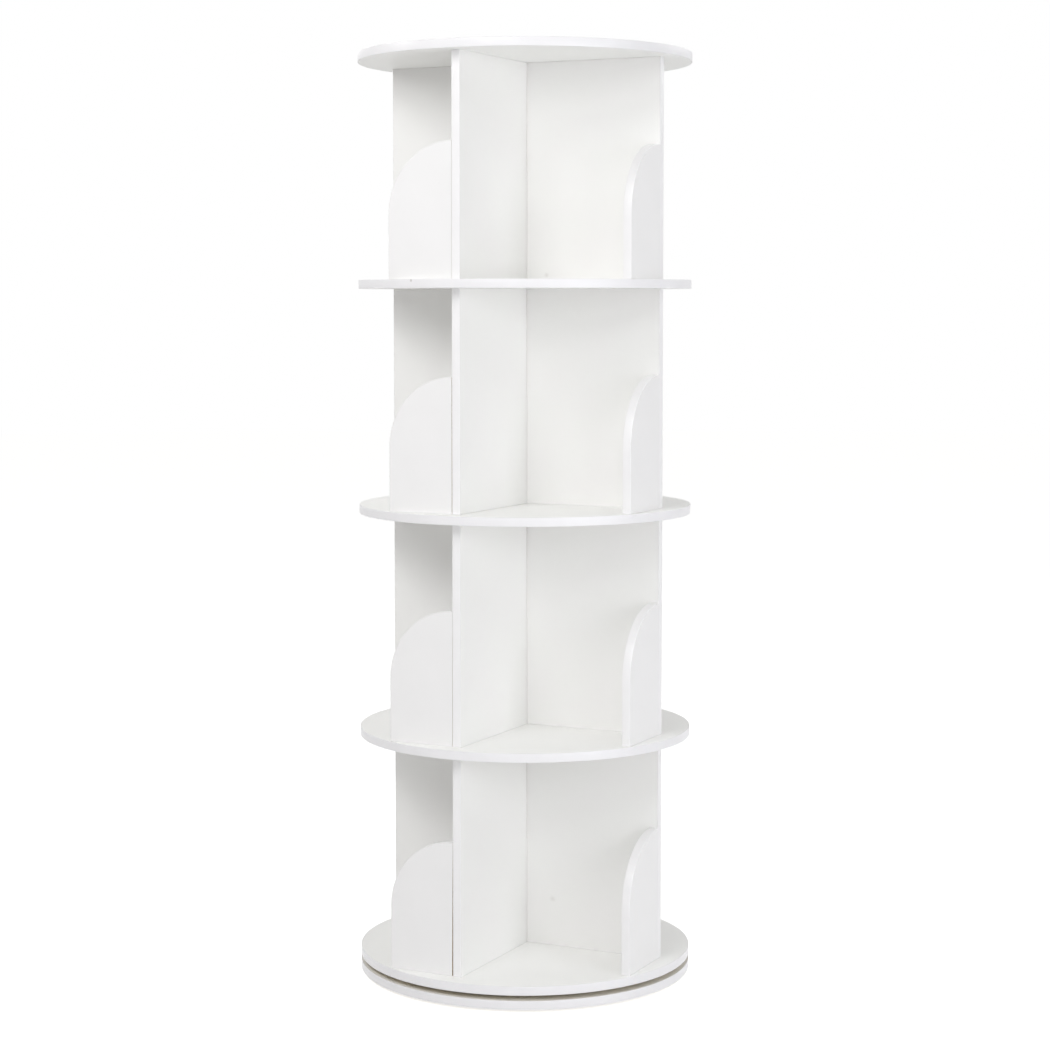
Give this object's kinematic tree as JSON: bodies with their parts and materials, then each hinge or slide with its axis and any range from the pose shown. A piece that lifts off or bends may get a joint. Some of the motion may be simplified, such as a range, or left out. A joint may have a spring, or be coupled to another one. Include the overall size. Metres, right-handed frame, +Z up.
{
  "type": "revolving bookcase",
  "caption": "Tall revolving bookcase: round shelves on crossed boards with arched book stops, turning on a ball bearing over a round base.",
  "frame": {"origin": "on the floor, at the turning axis, under the middle of the base", "axes": "+Z up along the turning axis; the board arms point along +X, +Y, -X and -Y"},
  "size_m": [0.46, 0.46, 1.2733],
  "materials": {
    "white_board": "satin white melamine on board",
    "beech": "bare beech",
    "aluminium": "satin",
    "bearing_steel": "bright",
    "zinc_steel": "zinc plated",
    "rubber": "matt"
  },
  "bodies": {
    "base": {"base_disc": "white_board", "foot_pad_1": "rubber", "foot_pad_2": "rubber", "foot_pad_3": "rubber", "foot_pad_4": "rubber", "bearing_outer_ring": "aluminium", "base_screw_1": "zinc_steel", "base_screw_2": "zinc_steel", "base_screw_3": "zinc_steel"},
    "ball_cage": {"ball_cage": "bearing_steel"},
    "column": {"bearing_inner_ring": "aluminium", "column_screw_1": "zinc_steel", "column_screw_2": "zinc_steel", "column_screw_3": "zinc_steel", "column_screw_4": "zinc_steel", "shelf_1": "white_board", "shelf_2": "white_board", "shelf_3": "white_board", "shelf_4": "white_board", "shelf_5": "white_board", "tier_1_lower_board": "white_board", "tier_1_upper_board": "white_board", "tier_1_book_stop_1": "white_board", "tier_1_book_stop_2": "white_board", "tier_1_book_stop_3": "white_board", "tier_1_book_stop_4": "white_board", "tier_2_lower_board": "white_board", "tier_2_upper_board": "white_board", "tier_2_book_stop_1": "white_board", "tier_2_book_stop_2": "white_board", "tier_2_book_stop_3": "white_board", "tier_2_book_stop_4": "white_board", "tier_3_lower_board": "white_board", "tier_3_upper_board": "white_board", "tier_3_book_stop_1": "white_board", "tier_3_book_stop_2": "white_board", "tier_3_book_stop_3": "white_board", "tier_3_book_stop_4": "white_board", "tier_4_lower_board": "white_board", "tier_4_upper_board": "white_board", "tier_4_book_stop_1": "white_board", "tier_4_book_stop_2": "white_board", "tier_4_book_stop_3": "white_board", "tier_4_book_stop_4": "white_board", "shelf_2_dowel_1": "beech", "shelf_2_dowel_2": "beech", "shelf_2_dowel_3": "beech", "shelf_2_dowel_4": "beech", "shelf_3_dowel_1": "beech", "shelf_3_dowel_2": "beech", "shelf_3_dowel_3": "beech", "shelf_3_dowel_4": "beech", "shelf_4_dowel_1": "beech", "shelf_4_dowel_2": "beech", "shelf_4_dowel_3": "beech", "shelf_4_dowel_4": "beech", "shelf_5_dowel_1": "beech", "shelf_5_dowel_2": "beech", "shelf_5_dowel_3": "beech", "shelf_5_dowel_4": "beech"}
  },
  "joints": [
    {"name": "column_spin", "type": "hinge", "parent": "base", "child": "column", "pos_m": [0, 0, 0.0198], "axis": [0, 0, 1], "continuous": true},
    {"name": "cage_spin", "type": "hinge", "parent": "base", "child": "ball_cage", "pos_m": [0, 0, 0.0198], "axis": [0, 0, 1], "continuous": true}
  ],
  "couplings": [
    {"joint": "cage_spin", "follows": "column_spin", "ratio": 0.5}
  ]
}
